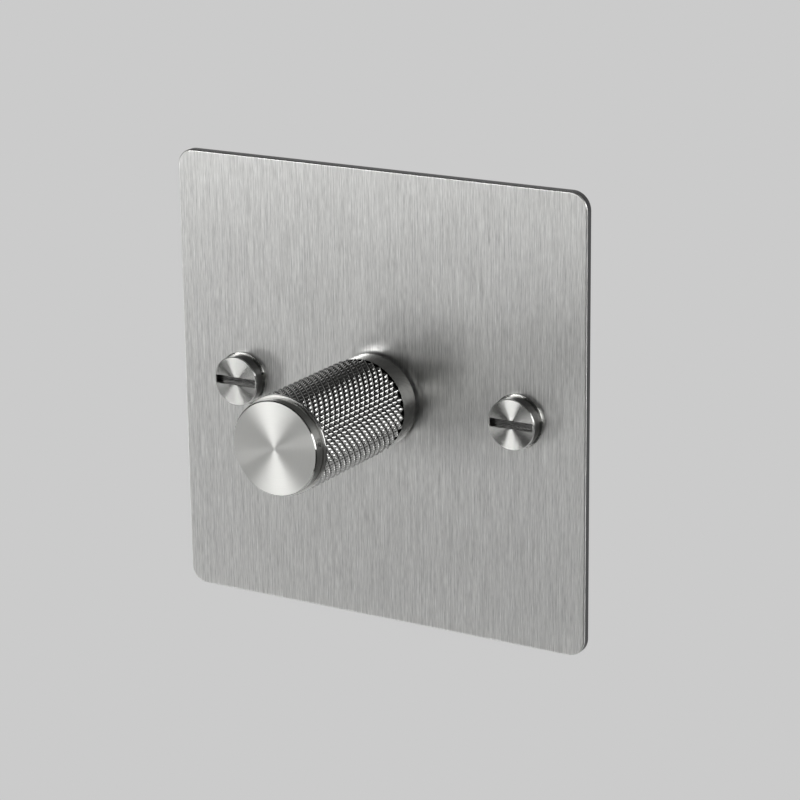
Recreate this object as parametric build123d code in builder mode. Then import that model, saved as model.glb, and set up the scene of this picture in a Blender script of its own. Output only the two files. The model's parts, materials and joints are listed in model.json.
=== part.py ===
from build123d import *
from math import cos, pi, radians, sin
import os

# Rotary dimmer switch for a wall box: a flat metal plate, held by two slotted screws, and a
# long knurled knob that turns to dim and pushes to switch. Behind the plate hangs the dimmer
# module with its potentiometer, push switch, circuit board and terminals.
#
# Frame, in millimetres: X to the right as seen by the user, Z up, and -Y out of the wall
# towards the user. The origin is on the knob's axis, at the back face of the plate. A height
# is measured out of the wall from that face, and a depth is a negative height.

# Face plate
plate_width = 88.0
plate_height = 88.0
plate_thickness = 1.5
plate_corner_radius = 3.5
plate_edge_round = 0.35

# Fixing screws and the washers under their heads
screw_spacing = 60.3
screw_head_diameter = 9.8
screw_head_height = 2.5
screw_head_chamfer = 0.18
screw_slot_width = 1.65
screw_slot_length = 8.9
screw_slot_depth = 1.3
screw_shank_diameter = 3.5
screw_neck_diameter = 3.1
screw_neck_past_plate = 0.3
screw_length = 20.0
screw_point = 0.6
screw_hole_clearance = 0.2
washer_diameter = 10.5
washer_thickness = 0.4

# Knob, one turned piece
knob_gap = 1.0
knob_band_diameter = 17.74
knob_band_length = 2.3
knob_face_chamfer = 0.2
ring_diameter = 18.7
ring_length = 0.5
knurl_diameter = 18.8
knurl_depth = 0.62
knurl_crests_round = 32
knurl_crests_along = 16
knurl_pitch = 1.71
collar_diameter = 18.1
collar_length = 4.4
collar_chamfer = 0.25
knob_cavity_wall = 1.15
knob_cavity_clearance = 0.7
knob_shaft_engagement = 12.5
knob_bore_clearance = 0.02
knob_bore_end_gap = 0.6

# Grub screw that holds the knob on the flat of the shaft
grub_diameter = 4.0
grub_clearance = 0.05
grub_recess = 1.2
grub_from_cavity = 6.0
grub_slot_width = 0.7
grub_slot_depth = 1.0

# Shaft, its flats and its retaining clip
shaft_diameter = 6.0
shaft_flat_depth = 1.2
shaft_clip_groove_depth = 0.5
clip_diameter = 8.4
clip_thickness = 0.7
clip_mouth = 4.0
clip_clearance = 0.05
shaft_running_clearance = 0.05
shaft_past_pot = 0.3
push_travel = 0.8

# Threaded bush, lock washer and nut
bush_diameter = 10.0
bush_flange_diameter = 15.6
bush_flange_thickness = 1.0
bush_thread_show = 1.4
bush_hole_clearance = 0.15
nut_across_flats = 13.0
nut_thickness = 2.5
nut_chamfer = 0.4
lock_washer_diameter = 14.4
lock_washer_thickness = 0.6
lock_washer_teeth = 12
lock_washer_tooth = 0.8

# Heat sink and moulded case
case_width = 46.0
case_height = 50.0
case_depth = 22.5
case_corner_radius = 3.0
case_wall = 1.6
case_edge_chamfer = 0.8
heat_sink_thickness = 1.5
boss_radius = 3.0
boss_inset = 3.5
case_screw_diameter = 2.5
case_screw_head_diameter = 4.6
case_screw_length = 8.0
case_screw_clearance = 0.05
case_screw_slot_width = 0.6
case_screw_slot_depth = 0.5
board_post_radius = 1.6
board_post_x = 16.0
board_post_z = 14.0

# Circuit board
board_thickness = 1.6
board_clearance = 0.6
pin_clearance = 0.1
pin_tail = 1.0

# Potentiometer
pot_diameter = 17.0
pot_depth = 6.5
pot_wall = 0.9
pot_foot_width = 9.0
pot_foot_height = 1.6
pot_foot_depth = 3.0
pot_pin_spacing = 2.5
pot_pin_width = 0.9
pot_pin_thickness = 0.5
rotor_disc_thickness = 1.6
rotor_disc_clearance = 0.6
rotor_front_gap = 0.25
turn_range = 270.0
stop_lug_angle = 36.0
stop_lug_gap = 0.2
stop_tooth_gap = 0.15
stop_slack_angle = 2.0
track_thickness = 0.7
track_inner_radius = 4.4
track_gap_angle = 40.0
wiper_thickness = 0.3
wiper_inner_radius = 3.9
wiper_reach_angle = 60.0
wiper_dimple_radius = 0.6
wiper_touch_gap = 0.1

# Push switch behind the potentiometer
switch_width = 16.0
switch_height = 14.0
switch_depth = 8.0
switch_bore_radius = 4.4
switch_floor = 1.2
plunger_head_radius = 2.4
plunger_flange_radius = 3.9
plunger_flange_thickness = 1.2
plunger_head_length = 0.85
plunger_stem_radius = 2.1
plunger_stem_end_gap = 0.4
plunger_touch_gap = 0.05
bridge_length = 11.6
bridge_width = 3.0
bridge_thickness = 0.5
bridge_clearance = 0.3
contact_gap_closed = 0.05
contact_width = 1.6
contact_thickness = 0.5
contact_reach = 1.6
spring_wire_diameter = 0.5
spring_radius = 2.9
spring_turns = 3.0

# Parts on the board
board_part_gap = 1.1
triac_width = 10.0
triac_body_height = 9.0
triac_body_depth = 4.4
triac_tab_height = 6.2
triac_tab_thickness = 1.3
triac_hole_diameter = 3.6
triac_leg_spacing = 2.54
triac_leg_width = 0.8
triac_leg_thickness = 0.5
triac_leg_drop = 1.8
triac_screw_diameter = 3.0
triac_screw_head_diameter = 5.4
triac_screw_head_height = 1.8
choke_gap = 1.45
choke_inner_radius = 3.2
choke_height = 4.6
choke_wire = 0.7
choke_wire_clearance = 0.05
choke_turns = 16
capacitor_width = 18.0
capacitor_height = 6.6
capacitor_depth = 10.5
capacitor_corner = 0.8
chip_width = 6.4
chip_length = 9.4
chip_thickness = 3.3
chip_stand_off = 0.5
chip_pins = 4
chip_pin_pitch = 2.54
chip_pin_width = 0.5
chip_pin_thickness = 0.3
resistor_radius = 1.2
resistor_length = 6.3
resistor_lead_radius = 0.3
resistor_lead_span = 10.0
resistor_spacing = 4.2

# Terminals
terminal_count = 3
terminal_pitch = 9.5
terminal_size = 6.0
terminal_depth = 7.0
terminal_clearance = 0.1
terminal_block_wall = 2.4
terminal_block_floor = 1.4
terminal_block_rim = 1.6
terminal_window_clearance = 0.2
wire_hole_diameter = 3.4
wire_funnel = 0.5
wire_hole_inset = 2.7
terminal_screw_diameter = 3.4
terminal_screw_head_diameter = 5.0
terminal_screw_head_height = 1.2
terminal_screw_slot_width = 0.7
terminal_screw_slot_depth = 0.6
terminal_screw_tip_gap = 0.1
earth_gap = 1.6

# Heights and depths that follow from the sizes above
plate_front = plate_thickness
washer_front = plate_front + washer_thickness
screw_face = washer_front + screw_head_height
thread_front = -screw_neck_past_plate
lock_washer_front = plate_front + lock_washer_thickness
nut_front = lock_washer_front + nut_thickness
bush_front = nut_front + bush_thread_show
heat_sink_back = -heat_sink_thickness
bush_back = heat_sink_back - bush_flange_thickness
clip_front = bush_back - clip_clearance
clip_back = clip_front - clip_thickness
rotor_front = clip_back - push_travel - rotor_front_gap
rotor_back = rotor_front - rotor_disc_thickness
pot_front = bush_back
pot_back = pot_front - pot_depth
pot_floor = pot_back + pot_wall
track_front = pot_floor + track_thickness
switch_back = pot_back - switch_depth
board_front = switch_back
board_back = board_front - board_thickness
case_back = heat_sink_back - case_depth
case_floor = case_back + case_wall
knob_rear = plate_front + knob_gap
cavity_end = bush_front + push_travel + knob_cavity_clearance
shaft_front = cavity_end + knob_shaft_engagement
shaft_back = pot_back - shaft_past_pot
knurl_rear = knob_rear + collar_length
knurl_front = knurl_rear + knurl_crests_along * knurl_pitch
ring_front = knurl_front + ring_length
knob_front = ring_front + knob_band_length
grub_height = cavity_end + grub_from_cavity


def wall_plane(height):
    # Plane parallel to the wall: its X is to the right, its Y is up and it looks out of the wall.
    return Plane.XZ.offset(height)


# Plane for turned profiles: its X is the radius from the knob's axis, its Y is the height.
turning_plane = Plane((0, 0, 0), x_dir=(1, 0, 0), z_dir=(0, 0, -1))


def finish(piece, label):
    piece.part.label = label
    export_step(piece.part, f"parts/{label}.step")


os.makedirs("parts", exist_ok=True)

# Face plate: brushed sheet with rounded corners and a softened front edge.
with BuildPart() as face_plate:
    with BuildSketch(wall_plane(0)):
        RectangleRounded(plate_width, plate_height, plate_corner_radius)
    extrude(amount=plate_thickness)
    fillet(face_plate.faces().sort_by(Axis.Y)[0].edges(), radius=plate_edge_round)
    with BuildSketch(wall_plane(plate_front)):
        Circle(bush_diameter / 2 + bush_hole_clearance)
        with GridLocations(screw_spacing, 0, 2, 1):
            Circle(screw_shank_diameter / 2 + screw_hole_clearance)
    extrude(amount=-plate_thickness, mode=Mode.SUBTRACT)
finish(face_plate, "face_plate")

# Washers under the heads of the fixing screws.
with BuildPart() as screw_washers:
    with BuildSketch(wall_plane(plate_front)):
        with GridLocations(screw_spacing, 0, 2, 1):
            Circle(washer_diameter / 2)
            Circle(screw_shank_diameter / 2 + screw_hole_clearance, mode=Mode.SUBTRACT)
    extrude(amount=washer_thickness)
finish(screw_washers, "screw_washers")

# Fixing screws: slotted cheese heads whose slots stop short of the rim, a thin neck through the
# plate as rolled threads leave it, and the thread's full diameter behind it.
with BuildPart() as plate_screws:
    with BuildSketch(wall_plane(washer_front)):
        with GridLocations(screw_spacing, 0, 2, 1):
            Circle(screw_head_diameter / 2)
    extrude(amount=screw_head_height)
    chamfer(plate_screws.faces().group_by(Axis.Y)[0].edges(), length=screw_head_chamfer)
    with BuildSketch(wall_plane(screw_face)):
        with GridLocations(screw_spacing, 0, 2, 1):
            Rectangle(screw_slot_length, screw_slot_width)
    extrude(amount=-screw_slot_depth, mode=Mode.SUBTRACT)
    with BuildSketch(wall_plane(washer_front)):
        with GridLocations(screw_spacing, 0, 2, 1):
            Circle(screw_neck_diameter / 2)
    extrude(amount=thread_front - washer_front)
    with BuildSketch(wall_plane(thread_front)):
        with GridLocations(screw_spacing, 0, 2, 1):
            Circle(screw_shank_diameter / 2)
    extrude(amount=washer_front - screw_length - thread_front)
    chamfer(plate_screws.faces().group_by(Axis.Y)[-1].edges(), length=screw_point)
finish(plate_screws, "plate_screws")


def knurl_point(step, row):
    # Crests and valleys take turns round the knob and along it. The end rows run out flat.
    raised = (step + row) % 2 == 0 and 0 < row < 2 * knurl_crests_along
    radius = knurl_diameter / 2 - (0 if raised else knurl_depth)
    angle = step * pi / knurl_crests_round
    height = knurl_rear + row * knurl_pitch / 2
    return Vector(radius * cos(angle), -height, radius * sin(angle))


def knurl_facets():
    # Each diamond crest is a four-sided pyramid. A cell between two rows holds a quarter of two
    # neighbouring pyramids, which meet along the groove between them.
    facets = []
    for row in range(2 * knurl_crests_along):
        for step in range(2 * knurl_crests_round):
            cell = [
                knurl_point(step, row),
                knurl_point(step + 1, row),
                knurl_point(step + 1, row + 1),
                knurl_point(step, row + 1),
            ]
            if (step + row) % 2:
                cell = cell[1:] + cell[:1]
            for corners in ((cell[0], cell[1], cell[3]), (cell[1], cell[2], cell[3])):
                facets.append(Face(Wire.make_polygon(corners)))
    for row in (0, 2 * knurl_crests_along):
        rim = [knurl_point(step, row) for step in range(2 * knurl_crests_round)]
        facets.append(Face(Wire.make_polygon(rim)))
    return facets


# Knob: turned from bar, with a smooth band at the front, a bevelled ring, the knurled grip, a
# smooth collar and a cavity at the rear that clears the nut.
knurled_grip = Solid(Shell(knurl_facets()))

# What is bored out of the knob: the cavity round the nut, the shaft's bore and the grub hole.
bore_end = shaft_front + knob_bore_end_gap
bore_radius = shaft_diameter / 2 + knob_bore_clearance
cavity_radius = collar_diameter / 2 - knob_cavity_wall
with BuildPart() as knob_core:
    with BuildSketch(turning_plane):
        with BuildLine():
            Polyline(
                (0, knob_rear),
                (cavity_radius, knob_rear),
                (cavity_radius, cavity_end),
                (bore_radius, cavity_end),
                (bore_radius, bore_end),
                (0, bore_end),
                close=True,
            )
        make_face()
    revolve(axis=Axis.Y)
    with BuildSketch(Plane.XY):
        with Locations((0, -grub_height)):
            Circle(grub_diameter / 2 + grub_clearance)
    extrude(amount=-knurl_diameter)

with BuildPart() as knob:
    with BuildSketch(turning_plane):
        with BuildLine():
            Polyline(
                (0, knurl_front),
                (ring_diameter / 2, knurl_front),
                (knob_band_diameter / 2, ring_front),
                (knob_band_diameter / 2, knob_front - knob_face_chamfer),
                (knob_band_diameter / 2 - knob_face_chamfer, knob_front),
                (0, knob_front),
                close=True,
            )
        make_face()
        with BuildLine():
            Polyline(
                (0, knob_rear),
                (collar_diameter / 2 - collar_chamfer, knob_rear),
                (collar_diameter / 2, knob_rear + collar_chamfer),
                (collar_diameter / 2, knurl_rear),
                (0, knurl_rear),
                close=True,
            )
        make_face()
    revolve(axis=Axis.Y)
    add(knurled_grip)
    add(knob_core.part, mode=Mode.SUBTRACT)
finish(knob, "knob")

# Grub screw under the knob, slotted at its outer end and resting on the flat of the shaft.
grub_inner_end = -(shaft_diameter / 2 - shaft_flat_depth)
grub_outer_end = -(knurl_diameter / 2 - grub_recess)
with BuildPart() as knob_grub_screw:
    with BuildSketch(Plane.XY.offset(grub_outer_end)):
        with Locations((0, -grub_height)):
            Circle(grub_diameter / 2)
    extrude(amount=grub_inner_end - grub_outer_end)
    with BuildSketch(Plane.XY.offset(grub_outer_end)):
        with Locations((0, -grub_height)):
            Rectangle(2 * grub_diameter, grub_slot_width)
    extrude(amount=grub_slot_depth, mode=Mode.SUBTRACT)
finish(knob_grub_screw, "knob_grub_screw")

# Shaft: round in the bush, with a flat under the grub screw and another for the rotor.
flat_offset = shaft_diameter / 2 - shaft_flat_depth
with BuildPart() as shaft:
    with BuildSketch(wall_plane(shaft_back)):
        Circle(shaft_diameter / 2)
    extrude(amount=shaft_front - shaft_back)
    with BuildSketch(wall_plane(shaft_front)):
        with Locations((0, -shaft_diameter)):
            Rectangle(2 * shaft_diameter, 2 * (shaft_diameter - flat_offset))
    extrude(amount=cavity_end - shaft_front, mode=Mode.SUBTRACT)
    with BuildSketch(wall_plane(clip_back)):
        with Locations((0, -shaft_diameter)):
            Rectangle(2 * shaft_diameter, 2 * (shaft_diameter - flat_offset))
    extrude(amount=shaft_back - clip_back, mode=Mode.SUBTRACT)
    with BuildSketch(wall_plane(clip_front)):
        Circle(shaft_diameter)
        Circle(shaft_diameter / 2 - shaft_clip_groove_depth, mode=Mode.SUBTRACT)
    extrude(amount=-clip_thickness, mode=Mode.SUBTRACT)
finish(shaft, "shaft")

# Retaining clip in the shaft's groove, open at one side.
with BuildPart() as shaft_clip:
    with BuildSketch(wall_plane(clip_front)):
        Circle(clip_diameter / 2)
        Circle(shaft_diameter / 2 - shaft_clip_groove_depth, mode=Mode.SUBTRACT)
        with Locations((0, clip_diameter / 2)):
            Rectangle(clip_mouth, clip_diameter, mode=Mode.SUBTRACT)
    extrude(amount=-clip_thickness)
finish(shaft_clip, "shaft_clip")

# Threaded bush that carries the shaft and clamps the module to the plate.
with BuildPart() as control_bush:
    with BuildSketch(wall_plane(heat_sink_back)):
        Circle(bush_flange_diameter / 2)
    extrude(amount=-bush_flange_thickness)
    with BuildSketch(wall_plane(heat_sink_back)):
        Circle(bush_diameter / 2)
    extrude(amount=bush_front - heat_sink_back)
    chamfer(control_bush.faces().sort_by(Axis.Y)[0].edges(), length=nut_chamfer)
    with BuildSketch(wall_plane(bush_back)):
        Circle(shaft_diameter / 2 + shaft_running_clearance)
    extrude(amount=bush_front - bush_back, mode=Mode.SUBTRACT)
finish(control_bush, "control_bush")

# Lock washer with notches round its rim.
with BuildPart() as bush_lock_washer:
    with BuildSketch(wall_plane(plate_front)):
        Circle(lock_washer_diameter / 2)
        Circle(bush_diameter / 2 + bush_hole_clearance, mode=Mode.SUBTRACT)
        with PolarLocations(lock_washer_diameter / 2, lock_washer_teeth):
            Rectangle(2 * lock_washer_tooth, lock_washer_tooth, mode=Mode.SUBTRACT)
    extrude(amount=lock_washer_thickness)
finish(bush_lock_washer, "bush_lock_washer")

# Hexagonal nut, its corners turned off at the front.
with BuildPart() as bush_nut:
    with BuildSketch(wall_plane(lock_washer_front)):
        RegularPolygon(nut_across_flats / 2, 6, major_radius=False)
    extrude(amount=nut_thickness)
    with BuildSketch(wall_plane(lock_washer_front)):
        Circle(nut_across_flats / 2 + nut_chamfer + nut_thickness)
    extrude(amount=nut_thickness, taper=45, mode=Mode.INTERSECT)
    with BuildSketch(wall_plane(lock_washer_front)):
        Circle(bush_diameter / 2 + knob_bore_clearance)
    extrude(amount=nut_thickness, mode=Mode.SUBTRACT)
finish(bush_nut, "bush_nut")

# Places of the parts on the board, round the potentiometer and clear of the case's bosses. The
# choke fills the room between the switch and the top wall, and the triac stands midway between
# the potentiometer and the side wall.
boss_spacing_x = case_width - 2 * boss_inset
boss_spacing_z = case_height - 2 * boss_inset
pot_foot_bottom = -(pot_diameter / 2 + pot_foot_height)
choke_reach = (case_height / 2 - case_wall - switch_height / 2) / 2 - choke_gap
choke_outer_radius = choke_reach - choke_wire - choke_wire_clearance
triac_x = -(pot_diameter / 2 + case_width / 2 - case_wall) / 2
triac_z = boss_spacing_z / 2 - boss_radius - triac_body_height - triac_tab_height - pin_clearance
triac_hole_z = triac_z + triac_body_height + triac_tab_height / 2
choke_x = boss_spacing_x / 2 - boss_radius - choke_reach
choke_z = switch_height / 2 + choke_gap + choke_reach
capacitor_z = pot_foot_bottom - board_part_gap - capacitor_height / 2
chip_x = switch_width / 2 + board_part_gap + chip_pin_thickness + chip_width / 2
chip_z = -chip_length / 2
resistor_x = -(switch_width / 2 + board_part_gap + resistor_radius + resistor_spacing / 2)
resistor_z = -resistor_lead_span / 2

# Heat sink: aluminium plate that closes the front of the case against the face plate.
with BuildPart() as heat_sink:
    with BuildSketch(wall_plane(0)):
        RectangleRounded(case_width, case_height, case_corner_radius)
    extrude(amount=-heat_sink_thickness)
    with Locations(wall_plane(0)):
        with GridLocations(boss_spacing_x, boss_spacing_z, 2, 2):
            CounterSinkHole(
                case_screw_diameter / 2 + case_screw_clearance,
                case_screw_head_diameter / 2 + case_screw_clearance,
                depth=heat_sink_thickness,
                counter_sink_angle=90,
            )
    with BuildSketch(wall_plane(0)):
        Circle(bush_diameter / 2 + bush_hole_clearance)
        with Locations((triac_x, triac_hole_z)):
            Circle(triac_screw_diameter / 2 + case_screw_clearance)
    extrude(amount=-heat_sink_thickness, mode=Mode.SUBTRACT)
finish(heat_sink, "heat_sink")

# Terminal block's place, used by the case and the terminals.
block_back = board_back - terminal_block_floor - terminal_depth - terminal_block_rim
block_width = (terminal_count - 1) * terminal_pitch + terminal_size + 2 * terminal_block_wall
block_bottom = -case_height / 2
pocket_size = terminal_size + 2 * terminal_clearance
block_height = pocket_size + 2 * terminal_block_wall
pocket_centre_z = block_bottom + block_height / 2
cage_front = board_back - terminal_block_floor
cage_back = cage_front - terminal_depth
wire_height = cage_front - wire_hole_inset

# Case: moulded tub, open at the front, with screw bosses and posts that hold the board.
with BuildPart() as module_case:
    with BuildSketch(wall_plane(heat_sink_back)):
        RectangleRounded(case_width, case_height, case_corner_radius)
    extrude(amount=-case_depth)
    chamfer(module_case.faces().sort_by(Axis.Y)[-1].edges(), length=case_edge_chamfer)
    with BuildSketch(wall_plane(heat_sink_back)):
        RectangleRounded(
            case_width - 2 * case_wall, case_height - 2 * case_wall, case_corner_radius - case_wall
        )
    extrude(amount=-(case_depth - case_wall), mode=Mode.SUBTRACT)
    with BuildSketch(wall_plane(heat_sink_back)):
        with GridLocations(boss_spacing_x, boss_spacing_z, 2, 2):
            Circle(boss_radius)
    extrude(amount=-(case_depth - case_wall))
    with BuildSketch(wall_plane(case_floor)):
        with Locations((-board_post_x, board_post_z), (board_post_x, board_post_z)):
            Circle(board_post_radius)
        with Locations((-board_post_x, -board_post_z / 2), (board_post_x, -board_post_z / 2)):
            Circle(board_post_radius)
    extrude(amount=board_back - case_floor)
    with BuildSketch(wall_plane(heat_sink_back)):
        with GridLocations(boss_spacing_x, boss_spacing_z, 2, 2):
            Circle(case_screw_diameter / 2 + case_screw_clearance)
    extrude(amount=-case_screw_length, mode=Mode.SUBTRACT)
    with BuildSketch(wall_plane(board_back)):
        with Locations((0, pocket_centre_z)):
            Rectangle(
                block_width + 2 * terminal_window_clearance,
                block_height + 2 * terminal_window_clearance,
            )
    extrude(amount=block_back - board_back, mode=Mode.SUBTRACT)
finish(module_case, "module_case")

# Countersunk screws that hold the heat sink on the case.
case_screw_head_height = (case_screw_head_diameter - case_screw_diameter) / 2
with BuildPart() as case_screws:
    with BuildSketch(wall_plane(0)):
        with GridLocations(boss_spacing_x, boss_spacing_z, 2, 2):
            Circle(case_screw_head_diameter / 2)
    extrude(amount=-case_screw_head_height, taper=45)
    with BuildSketch(wall_plane(0)):
        with GridLocations(boss_spacing_x, boss_spacing_z, 2, 2):
            Circle(case_screw_diameter / 2)
    extrude(amount=-case_screw_length)
    with BuildSketch(wall_plane(0)):
        with GridLocations(boss_spacing_x, boss_spacing_z, 2, 2):
            Rectangle(case_screw_head_diameter, case_screw_slot_width)
    extrude(amount=-case_screw_slot_depth, mode=Mode.SUBTRACT)
finish(case_screws, "case_screws")

# Potentiometer housing: a cup behind the bush's flange, with a stop tooth and a foot for pins.
pot_bore_radius = pot_diameter / 2 - pot_wall
rotor_radius = pot_bore_radius - rotor_disc_clearance
stop_tooth_angle = 360 - turn_range - stop_lug_angle - 2 * stop_slack_angle


def sector(inner_radius, outer_radius, middle_angle, angle):
    # Part of a ring, centred on the given angle.
    start = middle_angle - angle / 2
    with BuildSketch() as ring_part:
        with BuildLine():
            outer = CenterArc((0, 0), outer_radius, start, angle)
            inner = CenterArc((0, 0), inner_radius, start, angle)
            Line(outer @ 0, inner @ 0)
            Line(outer @ 1, inner @ 1)
        make_face()
    return ring_part.sketch


stop_tooth = sector(
    rotor_radius + stop_tooth_gap, pot_bore_radius + pot_wall / 2, 90, stop_tooth_angle
)
with BuildPart() as pot_body:
    with BuildSketch(wall_plane(pot_front)):
        Circle(pot_diameter / 2)
    extrude(amount=-pot_depth)
    with BuildSketch(wall_plane(pot_back)):
        with Locations((0, pot_foot_bottom)):
            Rectangle(pot_foot_width, pot_diameter / 2, align=(Align.CENTER, Align.MIN))
    extrude(amount=pot_foot_depth)
    with BuildSketch(wall_plane(pot_front)):
        Circle(pot_bore_radius)
    extrude(amount=pot_floor - pot_front, mode=Mode.SUBTRACT)
    with BuildSketch(wall_plane(pot_front)):
        add(stop_tooth)
    extrude(amount=pot_floor - pot_front)
    with BuildSketch(wall_plane(pot_back)):
        Circle(plunger_flange_radius)
    extrude(amount=pot_wall, mode=Mode.SUBTRACT)
finish(pot_body, "pot_body")

# Pins of the potentiometer, from under its foot through the board.
with BuildPart() as pot_pins:
    with BuildSketch(wall_plane(pot_back)):
        with Locations((0, pot_foot_bottom + pot_foot_height / 2)):
            with GridLocations(pot_pin_spacing, 0, 3, 1):
                Rectangle(pot_pin_width, pot_pin_thickness)
    extrude(amount=board_back - pin_tail - pot_back)
finish(pot_pins, "pot_pins")

# Resistive track: an open ring on the floor of the potentiometer.
track_ring = sector(track_inner_radius, rotor_radius, -90, 360 - track_gap_angle)
with BuildPart() as resistive_track:
    with BuildSketch(wall_plane(pot_floor)):
        add(track_ring)
    extrude(amount=track_thickness)
finish(resistive_track, "resistive_track")

# Rotor: a disc with a stop lug, turned by the flat of the shaft that slides in it.
stop_lug = sector(rotor_radius - pot_wall, pot_bore_radius - stop_lug_gap, -90, stop_lug_angle)
with BuildPart() as wiper_rotor:
    with BuildSketch(wall_plane(rotor_front)):
        Circle(rotor_radius)
        add(stop_lug)
    extrude(amount=-rotor_disc_thickness)
    with BuildSketch(wall_plane(rotor_front)):
        Circle(shaft_diameter / 2 + shaft_running_clearance)
        with Locations((0, -flat_offset - shaft_running_clearance)):
            Rectangle(
                2 * shaft_diameter,
                shaft_diameter,
                align=(Align.CENTER, Align.MAX),
                mode=Mode.SUBTRACT,
            )
    extrude(amount=-rotor_disc_thickness, mode=Mode.SUBTRACT)
finish(wiper_rotor, "wiper_rotor")

# Wiper: a leaf on the back of the rotor whose dimples run on the track.
wiper_outer_radius = rotor_radius - 2 * rotor_disc_clearance
wiper_middle_radius = (wiper_inner_radius + wiper_outer_radius) / 2
wiper_leaf = sector(wiper_inner_radius, wiper_outer_radius, 90, 180 + wiper_reach_angle)
dimple_x = wiper_middle_radius * cos(radians(wiper_reach_angle / 3))
dimple_z = wiper_middle_radius * sin(radians(wiper_reach_angle / 3))
with BuildPart() as wiper_contact:
    with BuildSketch(wall_plane(rotor_back)):
        add(wiper_leaf)
    extrude(amount=-wiper_thickness)
    with BuildSketch(wall_plane(rotor_back)):
        with Locations((-dimple_x, dimple_z), (dimple_x, dimple_z)):
            Circle(wiper_dimple_radius)
    extrude(amount=track_front + wiper_touch_gap - rotor_back)
finish(wiper_contact, "wiper_contact")

# Push switch: plunger, contact bridge, spring, fixed contacts and their housing.
plunger_front = shaft_back - plunger_touch_gap
flange_front = plunger_front - plunger_head_length
flange_back = flange_front - plunger_flange_thickness
bridge_back = flange_back - bridge_thickness
contact_front = bridge_back - push_travel - contact_gap_closed
contact_back = contact_front - contact_thickness
bore_floor = switch_back + switch_floor
contact_outer_x = bridge_length / 2 + bridge_clearance + contact_thickness
contact_tip_x = bridge_length / 2 - contact_reach
with BuildPart() as switch_body:
    with BuildSketch(wall_plane(pot_back)):
        RectangleRounded(switch_width, switch_height, pot_wall)
    extrude(amount=-switch_depth)
    with BuildSketch(wall_plane(pot_back)):
        Circle(switch_bore_radius)
    extrude(amount=bore_floor - pot_back, mode=Mode.SUBTRACT)
    with BuildSketch(wall_plane(pot_back)):
        Rectangle(bridge_length + 2 * bridge_clearance, bridge_width + 2 * bridge_clearance)
    extrude(amount=contact_back - pot_back, mode=Mode.SUBTRACT)
    with BuildSketch(wall_plane(contact_front)):
        with Locations((-contact_outer_x, 0), (contact_outer_x, 0)):
            Rectangle(2 * (contact_thickness + pin_clearance), contact_width + 2 * pin_clearance)
    extrude(amount=switch_back - contact_front, mode=Mode.SUBTRACT)
finish(switch_body, "switch_body")

with BuildPart() as switch_plunger:
    with BuildSketch(wall_plane(plunger_front)):
        Circle(plunger_head_radius)
    extrude(amount=flange_front - plunger_front)
    with BuildSketch(wall_plane(flange_front)):
        Circle(plunger_flange_radius)
    extrude(amount=-plunger_flange_thickness)
    with BuildSketch(wall_plane(flange_back)):
        Circle(plunger_stem_radius)
    extrude(amount=bore_floor + push_travel + plunger_stem_end_gap - flange_back)
finish(switch_plunger, "switch_plunger")

with BuildPart() as contact_bridge:
    with BuildSketch(wall_plane(flange_back)):
        Rectangle(bridge_length, bridge_width)
        Circle(spring_radius + spring_wire_diameter)
        Circle(plunger_stem_radius + shaft_running_clearance, mode=Mode.SUBTRACT)
    extrude(amount=-bridge_thickness)
finish(contact_bridge, "contact_bridge")

# Each fixed contact is a strip: its tip faces the bridge and its leg goes through the board.
with BuildPart() as switch_contacts:
    with BuildSketch(wall_plane(contact_front)):
        for x in (-1, 1):
            with Locations((x * (contact_tip_x + contact_outer_x) / 2, 0)):
                Rectangle(contact_outer_x - contact_tip_x, contact_width)
    extrude(amount=-contact_thickness)
    with BuildSketch(wall_plane(contact_back)):
        for x in (-1, 1):
            with Locations((x * (contact_outer_x - contact_thickness / 2), 0)):
                Rectangle(contact_thickness, contact_width)
    extrude(amount=board_back - pin_tail - contact_back)
finish(switch_contacts, "switch_contacts")

# Return spring between the bridge and the floor of the switch.
spring_length = bridge_back - bore_floor - spring_wire_diameter
spring_start = bore_floor + spring_wire_diameter / 2
with BuildPart() as return_spring:
    with BuildLine():
        coil = Helix(
            spring_length / spring_turns,
            spring_length,
            spring_radius,
            center=(0, -spring_start, 0),
            direction=(0, -1, 0),
        )
    with BuildSketch(Plane(origin=coil @ 0, z_dir=coil % 0)):
        RegularPolygon(spring_wire_diameter / 2, 6)
    sweep(is_frenet=True)
finish(return_spring, "return_spring")

# Circuit board, notched at the corners for the case's bosses and drilled for the pins.
triac_leg_height = heat_sink_back - triac_tab_thickness - triac_leg_thickness
triac_leg_z = triac_z - triac_leg_drop + triac_leg_thickness / 2
notch = boss_inset + boss_radius - case_wall
board_width = case_width - 2 * case_wall - 2 * board_clearance
board_height = case_height - 2 * case_wall - 2 * board_clearance
with BuildPart() as circuit_board:
    with BuildSketch(wall_plane(board_front)):
        Rectangle(board_width, board_height)
        with GridLocations(board_width, board_height, 2, 2):
            Rectangle(2 * notch, 2 * notch, mode=Mode.SUBTRACT)
        with Locations((0, pot_foot_bottom + pot_foot_height / 2)):
            with GridLocations(pot_pin_spacing, 0, 3, 1):
                Rectangle(
                    pot_pin_width + 2 * pin_clearance,
                    pot_pin_thickness + 2 * pin_clearance,
                    mode=Mode.SUBTRACT,
                )
        with Locations(
            (-contact_outer_x + contact_thickness / 2, 0),
            (contact_outer_x - contact_thickness / 2, 0),
        ):
            Rectangle(
                contact_thickness + 2 * pin_clearance,
                contact_width + 2 * pin_clearance,
                mode=Mode.SUBTRACT,
            )
        with Locations((triac_x, triac_leg_z)):
            with GridLocations(triac_leg_spacing, 0, 3, 1):
                Rectangle(
                    triac_leg_width + 2 * pin_clearance,
                    triac_leg_thickness + 2 * pin_clearance,
                    mode=Mode.SUBTRACT,
                )
    extrude(amount=-board_thickness)
finish(circuit_board, "circuit_board")

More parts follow.
